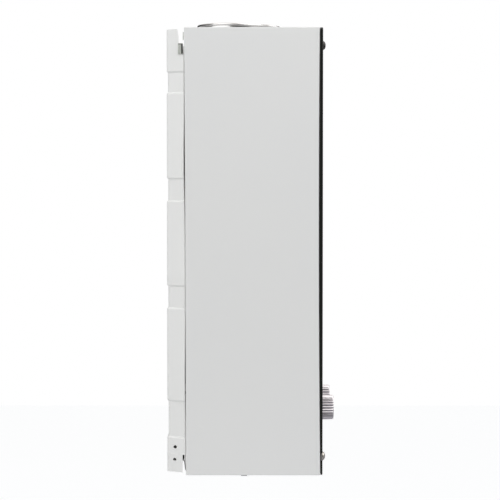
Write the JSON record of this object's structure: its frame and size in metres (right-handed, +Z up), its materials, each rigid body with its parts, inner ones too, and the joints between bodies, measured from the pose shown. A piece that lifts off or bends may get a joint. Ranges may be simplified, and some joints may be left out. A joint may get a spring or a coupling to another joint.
{
  "type": "tankless water heater",
  "caption": "Wall hung gas water heater with a white steel cover, a black glass front, fluted knobs that turn, a flue collar, and its burner, heat exchanger and valves inside.",
  "frame": {"origin": "middle of the back plate's wall face", "axes": "+Z up, +Y into the wall, so the front faces -Y, and +X to the right of someone who faces the heater"},
  "size_m": [0.33, 0.2095, 0.5745],
  "materials": {
    "enamel": "satin white enamel on sheet steel",
    "panel_glass": "black back printed tempered glass, polished",
    "screw_steel": "dark polished domed caps",
    "knob_metal": "satin silver",
    "black_rubber": "matt",
    "brass": "machined",
    "black_plastic": "matt",
    "grey_plastic": "matt",
    "white_plastic": "satin",
    "galvanised": "zinc plated sheet",
    "copper": "plain copper, slightly dulled",
    "stainless": "stainless sheet",
    "cast_alloy": "die cast, matt",
    "ceramic": "unglazed white ceramic",
    "red_lead": "silicone sleeve",
    "cell_jacket": "plain dark jacket"
  },
  "bodies": {
    "chassis": {"back_plate": "enamel", "front_cover": "enamel", "bottom_panel": "enamel", "cover_hook_left": "galvanised", "cover_hook_right": "galvanised", "glass_panel": "panel_glass", "glass_screw_1": "screw_steel", "glass_screw_2": "screw_steel", "glass_screw_3": "screw_steel", "glass_screw_4": "screw_steel", "gas_knob_seal": "black_rubber", "water_knob_seal": "black_rubber", "display_module": "black_plastic", "flue_collar": "galvanised", "draught_hood": "galvanised", "fin_stack": "copper", "combustion_chamber": "copper", "chamber_coil": "copper", "hot_pipe": "copper", "cold_pipe": "copper", "gas_pipe": "copper", "burner_frame": "stainless", "burner_bars": "stainless", "gas_manifold": "cast_alloy", "ignition_electrode": "ceramic", "flame_sensor": "ceramic", "gas_valve_body": "cast_alloy", "solenoid_valve": "black_plastic", "water_valve_body": "brass", "diaphragm": "black_rubber", "diaphragm_cover": "brass", "drain_plug": "brass", "microswitch": "black_plastic", "gas_inlet": "brass", "water_inlet": "brass", "water_outlet": "brass", "gas_inlet_nut": "brass", "water_inlet_nut": "brass", "water_outlet_nut": "brass", "valve_bracket": "galvanised", "exchanger_bracket": "galvanised", "overheat_thermostat": "black_plastic", "flue_sensor": "black_plastic", "ignition_module": "grey_plastic", "ignition_lead": "red_lead", "sensor_lead": "black_rubber", "battery_lead": "black_rubber", "battery_case": "grey_plastic", "battery_1": "cell_jacket", "battery_2": "cell_jacket", "upper_contact": "stainless", "cover_screw_left": "galvanised", "cover_screw_right": "galvanised"},
    "gas_control": {"gas_knob": "knob_metal", "gas_spindle": "brass"},
    "water_control": {"water_knob": "knob_metal", "water_spindle": "brass"},
    "battery_door": {"battery_cover": "white_plastic"},
    "water_stem": {"valve_stem": "stainless"},
    "lever": {"switch_lever": "stainless"}
  },
  "joints": [
    {"name": "gas_knob_turn", "type": "hinge", "parent": "chassis", "child": "gas_control", "pos_m": [-0.0575, -0.1929, -0.2038], "axis": [0, -1, 0], "range_deg": [-135, 135]},
    {"name": "water_knob_turn", "type": "hinge", "parent": "chassis", "child": "water_control", "pos_m": [0.0575, -0.1929, -0.2038], "axis": [0, -1, 0], "range_deg": [-150, 150]},
    {"name": "battery_cover_swing", "type": "hinge", "parent": "chassis", "child": "battery_door", "pos_m": [-0.122, -0.0931, -0.2773], "axis": [1, 0, 0], "range_deg": [0, 100]},
    {"name": "stem_slide", "type": "slide", "parent": "chassis", "child": "water_stem", "axis": [-1, 0, 0], "range_m": [0, 0.004], "stiffness_N_per_m": 300},
    {"name": "switch_lever_lift", "type": "hinge", "parent": "chassis", "child": "lever", "pos_m": [-0.0264, -0.1, -0.15849], "axis": [0, -1, 0], "range_deg": [0, 9]}
  ],
  "couplings": [
    {"joint": "switch_lever_lift", "follows": "stem_slide", "rad_per_m": 39}
  ]
}
